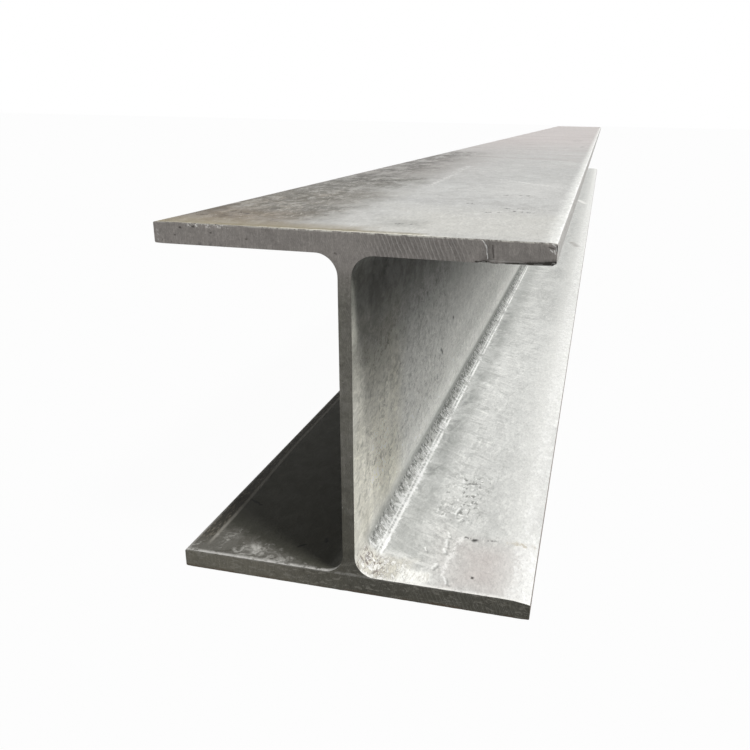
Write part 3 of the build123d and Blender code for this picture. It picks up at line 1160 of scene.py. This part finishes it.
# %% Crust and chalk where the saw came through
skin.area = (floor_right,)
crust = skin.zone((-5, -5, 0), (54, 38, 33), 10, 24, 60.0)
skin.layer((0.66, 0.635, 0.555), crust, 0.85)
crust_dark = skin.streaks((5, 9, 5), 0.50, 0.56, shift=19.0, detail=6.0, bend=1.0, rough=0.72)
in_corner = skin.without(skin.soft(skin.x, 0.020, 0.046))
skin.layer((0.15, 0.115, 0.110), skin.times(crust, crust_dark, in_corner), 0.85)
crust_bright = skin.streaks((5, 9, 5), 0.50, 0.56, shift=9.0, detail=6.0, bend=1.0, rough=0.72)
skin.layer((0.98, 0.975, 0.95), skin.times(crust, crust_bright), 0.82)
chalk = skin.zone((46, 1, 0), (76, 24, 40), 5, 16, 60.0)
skin.wash((1.0, 1.0, 0.96), 0.95, chalk)
chalk_lines = skin.streaks((3.5, 16, 6), 0.52, 0.58, shift=13.0, detail=4.0, rough=0.70)
skin.wash((0.55, 0.53, 0.47), 0.50, chalk, chalk_lines)

skin.paint_tips((0.33, 0.29, 0.26), 0.60)
skin.paint_burr((0.95, 0.94, 0.90), floor_right)
skin.raise_by(-0.20, skin.most(dark_pits, web_pits, web_flecks, web_marks))
skin.raise_by(0.30, skin.times(crust, crust_bright))
skin.raise_by(0.25, skin.times(pitted, pit_bright))
skin.raise_by(0.12, skin.times(in_root, root_strokes))
skin.finish_skin((2.2, 5.0, 2.4))

# %% Lower left flange: painted shadow, dust and flakes
skin = SkinPainter(left_skin)
floor_left = skin.times(skin.low, skin.soft(skin.facing[2], 0.10, 0.50))
web_left = skin.soft(skin.without(skin.facing[0]), 1.30, 1.70)
skin.layer((0.26, 0.255, 0.235), skin.times(web_left, skin.soft(skin.x, -0.120, -0.100)), 0.80)
skin.area = (floor_left,)
# Painted shade over dark scale: the floor of the left side is dark all over
skin.wash((0.055, 0.054, 0.042), 1.0)
skin.clouds(((0.095, 0.093, 0.075), 0.30, (10, 20, 10), 0.47, 0.60, 3.0, 7.0, 0.5, 0.78))
# The band by the cut follows the sun's shadow line from the web: painted lighter there, as light,
# with dust over it
slanted = math_node(skin.tree, "MULTIPLY_ADD", skin.x, -0.45, -0.018)
slanted = math_node(skin.tree, "SUBTRACT", slanted, skin.behind)
wandering = skin.streaks((22, 22, 22), 0.25, 0.75, shift=2.0, detail=7.0, rough=0.72)
slanted = math_node(skin.tree, "MULTIPLY_ADD", wandering, 0.016, slanted)
dust_and_lit_band = skin.within(skin.soft(slanted, -0.002, 0.012),
                    skin.without(skin.soft(skin.x, -0.044, -0.026)))
wispy = skin.zone((-146, -5, 0), (-48, 36, 40), 18, 20, 40.0)
wisp_level = smooth_range(skin.tree, wispy, 0.0, 1.0, 0.54, 0.46)
wisp_top = math_node(skin.tree, "ADD", wisp_level, 0.20)
skin.area = (dust_and_lit_band,)
skin.wash((0.134, 0.129, 0.113), 0.88)
skin.clouds(
    # Pale puffs, dark puffs, and thin wisps over both
    ((0.60, 0.59, 0.55), 0.72, (24, 19, 14), wisp_level, wisp_top, 2.0, 8.0, 0.5, 0.66),
    ((0.075, 0.070, 0.057), 0.72, (17, 15, 10), 0.48, 0.62, 12.0, 8.0, 0.5, 0.68),
    ((0.62, 0.61, 0.57), 0.32, (11, 11, 8), 0.56, 0.64, 22.0, 6.0, 0.8, 0.68),
)
skin.area = (floor_left,)
turning = smooth_range(skin.tree, skin.behind, 0.060, 0.280, 0.0, 0.006)
rim_x = math_node(skin.tree, "ADD", skin.x, turning)
rim_band = skin.within(skin.without(skin.soft(rim_x, -0.160, -0.157)),
                       skin.soft(skin.behind, 0.010, 0.040))
skin.layer((0.040, 0.037, 0.029), rim_band, 0.90)
rim_flakes = skin.streaks((2.6, 9, 6), 0.51, 0.60, shift=14.0, detail=6.0, rough=0.76)
skin.layer((0.26, 0.235, 0.185), skin.times(rim_band, rim_flakes), 0.52)
line_away = math_node(skin.tree, "ABSOLUTE", math_node(skin.tree, "ADD", rim_x, 0.1570))
rim_line = skin.times(skin.without(skin.soft(line_away, 0.0006, 0.0030)),
                      skin.soft(skin.behind, 0.010, 0.030))
skin.wash((0.30, 0.285, 0.250), 0.68, rim_line)
skin.patches(((0.33, 0.32, 0.295), 0.70, (-176, 0, 0), (-172.0, 6100, 40), 1.2, 2.0, 90.0))
for start, end, wide in (
    ((-153, 111, 19), (-148, 109, 19), 2.6), ((-148, 109, 19), (-138, 103, 19), 2.6),
    ((-66, 34, 19), (-60, 40, 19), 2.6), ((-43, 56, 19), (-41, 50, 19), 3.5),
):
    skin.layer((0.010, 0.010, 0.008), skin.scratch(start, end, wide, 4.0), 0.95)

skin.paint_tips((0.62, 0.61, 0.585), 0.40)
skin.paint_burr((0.60, 0.59, 0.56), floor_left)
skin.finish_skin((2.0, 4.0, 2.4), uneven=0.2)

# %% [markdown]
# ## The sawn end
#
# The cut is darker than the skin, with a slight purple-brown tint on the upper flange and a
# darker web and foot. The ripples of the blade are painted lighter on their crests and darker
# between them, as light and shade. A bright crack runs down beside the torn bevel, with painted
# shade beside it and on the bevel's underside and a painted highlight along the bevel's top, and
# the burr along the upper edge is bright.

# %% Sawn steel: tones and specks
cut = Painter(sawn_steel, (0.195, 0.189, 0.163))
cut.clouds(
    ((0.27, 0.26, 0.235), 0.45, (14, 14, 14), 0.44, 0.60, 1.0, 8.0, 0.0, 0.74),
    ((0.12, 0.115, 0.098), 0.45, (8, 8, 10), 0.50, 0.64, 5.0, 8.0, 0.0, 0.74),
)
cut_high = cut.soft(cut.z, 0.290, 0.330)
cut_low = cut.without(cut.soft(cut.z, 0.010, 0.220))
cut_left = cut.without(cut.soft(cut.x, -0.110, 0.030))
cut.wash((0.435, 0.400, 0.380), 0.67, cut_high)
cut.wash((0.078, 0.075, 0.058), 0.75, cut_low)
cut.wash((0.25, 0.235, 0.19), 0.62, cut_left, cut.without(cut.soft(cut.z, 0.020, 0.030)))
cut.tone(0.93, cut_high, cut.soft(cut.x, 0.105, 0.125))
for amount, *noise in (
    # Broad clouds, upright brushing, light specks and dark specks
    (0.92, (52, 52, 20), 0.42, 0.60, 12.0, 4.0),
    (1.16, (2.2, 5, 26), 0.46, 0.64, 27.0, 5.0, 0.0, 0.70),
    (1.18, (1.9, 1.9, 2.4), 0.48, 0.62, 7.0, 4.0, 0.0, 0.80),
    (0.84, (2.4, 2.4, 3.2), 0.50, 0.64, 17.0, 4.0, 0.0, 0.80),
):
    cut.tone(amount, cut.streaks(*noise))
scuffs = cut.streaks((9, 9, 4), 0.53, 0.60, 0.0, 6.0, 0.8, 0.72)
cut.wash((0.31, 0.295, 0.26), 0.58, cut.without(cut.soft(cut.z, 0.020, 0.040)), scuffs)
brown = cut.streaks((40, 40, 9), 0.40, 0.60, 3.0, 4.0)
cut.wash((0.12, 0.085, 0.055), 0.75, cut.without(cut.soft(cut.z, 0.001, 0.004)), brown)

# %% Sawn steel: ripples of the blade
FINE_PITCH = 0.0017

along = math_node(cut.tree, "ADD", math_node(cut.tree, "MULTIPLY", cut.x, math.cos(SAW_LEAN)),
                  math_node(cut.tree, "MULTIPLY", cut.z, math.sin(SAW_LEAN)))
bend = cut.streaks((26, 26, 26), 0.2, 0.8, shift=4.0)
bent = math_node(cut.tree, "MULTIPLY_ADD", bend, 0.0022, along)
wave, fine_wave = (
    math_node(cut.tree, "SINE", math_node(cut.tree, "MULTIPLY", bent, 2 * math.pi / pitch))
    for pitch in (SAW_PITCH, FINE_PITCH)
)
crest = cut.soft(wave, 0.20, 1.0)
ripple_place = cut.zone((26, -10, 322), (100, 10, 360), 18, 26, 40.0)
patchy = cut.streaks((9, 9, 7), 0.36, 0.56, shift=8.0, detail=5.0, rough=0.75)
# Painted light and shade: lighter on the ripple crests, darker between them
cut.wash((0.42, 0.41, 0.39), 0.42, ripple_place, crest, patchy)
cut.tone(0.80, ripple_place, cut.without(crest))
foot_ripples = cut.zone((64, -10, -5), (166, 10, 22), 12, 20, 40.0)
cut.wash((0.21, 0.205, 0.18), 0.42, foot_ripples, crest, patchy)
fine_wave = cut.times(cut.soft(fine_wave, 0.0, 1.0), cut.streaks((9, 9, 9), 0.45, 0.62, shift=3.0))
cut.layer((0.36, 0.35, 0.325), fine_wave, 0.20)

# %% Sawn steel: pits, crack and bevel
cut.layer((0.55, 0.54, 0.51), cut.pits((3, 3, 3), 0.24, 0.16), 0.6)
cut.layer((0.09, 0.08, 0.07), cut.pits((8, 8, 6), 0.20, 0.18), 0.6)
dark_pocks = [
    ((x_mm, 0.4, z_mm), (x_mm + 1, 0.4, z_mm), wide)
    for x_mm, z_mm, wide in (
        (-149.7, 345.8, 1.6), (-137.2, 347.2, 1.9), (-155.5, 339.0, 1.1), (-121.0, 342.5, 1.0))
]
pale_pocks = [
    ((x_mm, 0.4, z_mm), (x_mm + 1, 0.4, z_mm - 1), 1.0)
    for x_mm, z_mm in ((-172.2, 343.0), (-171.6, 339.2), (-171.9, 334.6))
]
cut.rubs((0.06, 0.055, 0.05), 0.8, 0.8, dark_pocks)
cut.rubs((0.60, 0.59, 0.57), 0.8, 0.8, pale_pocks)
# Painted shade right of the crack
cut.patches(((0.115, 0.11, 0.10), 0.45, (119, -10, 330), (124, 10, 351), 3.0, 4.0, 120.0))
crack = cut.most(cut.scratch((116.2, 0.4, 349.0), (119.8, 0.4, 343.7), 1.0, 2.4),
                 cut.scratch((119.8, 0.4, 343.7), (120.4, 0.4, 334.5), 0.75, 2.4))
cut.layer((0.92, 0.91, 0.88), crack, 0.90)
# A painted shade line right of the crack, and a painted highlight along the top of the bevel
shade_beside_crack = [((124.1, 0.4, 345.6), (125.4, 0.4, 335.5), 1.0)]
ridge_highlight = [((122.5, 0.9, 333.2), (148.0, 0.9, 333.4), 0.9)]
nick = [((111.0, 0.4, 331.6), (121.0, 0.4, 331.4), 1.5)]
cut.rubs((0.085, 0.075, 0.070), 0.80, 1.4, shade_beside_crack)
cut.rubs((0.66, 0.65, 0.62), 0.80, 1.2, ridge_highlight)
# Painted shade under the torn corner
cut.patches(((0.060, 0.055, 0.050), 0.75, (166, -10, 330), (176, 10, 334.5), 1.6, 3.0, 200.0))
cut.rubs((0.030, 0.028, 0.025), 0.95, 0.8, nick)
# Painted shade on the faces that look down, under the bevel
under = cut.soft(cut.without(cut.facing[2]), 1.25, 1.50)
cut.wash((0.050, 0.047, 0.040), 0.85, under, cut_high)

# %% Sawn steel: burr and chips along the edges
top_edge = cut.soft(cut.z, 0.3484, 0.3494)
edge_break = cut.streaks((7, 7, 7), 0.42, 0.54, shift=7.0, detail=5.0, rough=0.75)
bright_burr = smooth_range(cut.tree, cut.x, -0.110, -0.030, 0.30, 0.80)
cut.wash((1.0, 0.98, 0.88), bright_burr, top_edge, edge_break)
white_chips = cut.streaks((3.2, 3.2, 3.2), 0.52, 0.58, shift=27.0, detail=4.0, rough=0.75)
chip_place = cut.zone((-142, -10, 347), (-104, 10, 352), 1.2, 3.0)
cut.wash((1.0, 0.98, 0.93), 0.95, chip_place, white_chips)
corner_chips = (
    ((171.0, 0.4, 349.2), (173.2, 0.4, 347.6), 1.1),
    ((169.4, 0.4, 344.6), (171.4, 0.4, 342.8), 0.8),
    ((172.6, 0.4, 344.0), (173.6, 0.4, 341.8), 0.9),
)
cut.rubs((0.95, 0.94, 0.91), 0.90, 1.4, corner_chips)
cut.rubs((0.09, 0.085, 0.08), 0.8, 1.0, [((168.5, 0.4, 346.5), (172.0, 0.4, 345.6), 1.0)])
floor_edge = cut.times(cut.soft(cut.z, 0.0172, 0.0188), cut.without(cut.soft(cut.z, 0.0193, 0.022)))
cut.wash((0.42, 0.41, 0.385), 0.60, floor_edge, edge_break)

# %% Sawn steel: relief and roughness
cut.raise_by(0.050, cut.streaks((1.3, 1.3, 1.6), 0.25, 0.75, shift=2.0, detail=3.0))
cut.raise_by(0.100, cut.times(crest, ripple_place, patchy))
cut.raise_by(0.030, fine_wave)
cut.raise_by(-0.30, crack)
cut_rough = smooth_range(cut.tree, cut.streaks((10, 10, 10), 0.35, 0.65, shift=9.0),
                         0.0, 1.0, 0.45, 0.65)
cut.finish(cut_rough)
print("sawn end:", len(cut.tree.nodes), "nodes")

# %% [markdown]
# ## Floor, light and world
#
# The photograph has a plain white ground. The floor here is pale, and the camera sees it
# mostly as white, so the shadow is faint. The shadow lines on the lower left flange and on the
# web say where the light stood: high, to the right and a little in front. The sun is broad,
# as a large lamp is, and the world fills the shadows with a low grey.

# %% Floor
FLOOR_DROP = -0.0005
floor_mesh = bpy.data.meshes.new("floor")
corners = [(x, y, FLOOR_DROP) for x, y in ((-30, -30), (30, -30), (30, 30), (-30, 30))]
floor_mesh.from_pydata(corners, [], [(0, 1, 2, 3)])
floor = bpy.data.objects.new("floor", floor_mesh)
bpy.context.scene.collection.objects.link(floor)
floor_paint = bpy.data.materials.new("pale_floor")
floor_paint.use_nodes = True
tree = floor_paint.node_tree
tree.nodes.clear()
is_camera = node(tree, "ShaderNodeLightPath").outputs["Is Camera Ray"]
share = math_node(tree, "MULTIPLY", is_camera, 0.97)
matte = node(tree, "ShaderNodeBsdfDiffuse", {"Color": (0.40, 0.40, 0.40, 1)})
white = node(tree, "ShaderNodeEmission", {"Color": (1, 1, 1, 1), "Strength": 1.0})
mixed = node(tree, "ShaderNodeMixShader", {0: share, 1: matte.outputs[0], 2: white.outputs[0]})
node(tree, "ShaderNodeOutputMaterial", {0: mixed.outputs[0]})
floor_mesh.materials.append(floor_paint)

# %% World
AMBIENT = 0.20
world = bpy.data.worlds.new("world")
bpy.context.scene.world = world
world.use_nodes = True
tree = world.node_tree
tree.nodes.clear()
path = node(tree, "ShaderNodeLightPath").outputs
seen = math_node(tree, "MAXIMUM", path["Is Camera Ray"], path["Is Glossy Ray"])
seen = math_node(tree, "MAXIMUM", seen, path["Is Transmission Ray"])
colour = node(tree, "ShaderNodeMix", {0: seen, 6: (AMBIENT, AMBIENT, AMBIENT, 1), 7: (1, 1, 1, 1)},
              data_type="RGBA").outputs[2]
background = node(tree, "ShaderNodeBackground", {"Color": colour, "Strength": 1.0})
node(tree, "ShaderNodeOutputWorld", {0: background.outputs[0]})

# %% Sun
SUN_FROM = Vector((0.485, -0.204, 0.850)).normalized()
sun_data = bpy.data.lights.new("sun", "SUN")
sun_data.energy = math.pi * (1.0 - AMBIENT) / SUN_FROM.z
sun_data.angle = math.radians(12)
sun = bpy.data.objects.new("sun", sun_data)
sun.rotation_euler = SUN_FROM.to_track_quat("Z", "Y").to_euler()
bpy.context.scene.collection.objects.link(sun)
bpy.context.scene.view_settings.view_transform = "Standard"
print("sun energy", round(sun_data.energy, 2))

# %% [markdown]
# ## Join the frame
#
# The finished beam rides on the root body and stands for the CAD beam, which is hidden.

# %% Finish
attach(bar, "root")
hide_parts("h_beam")
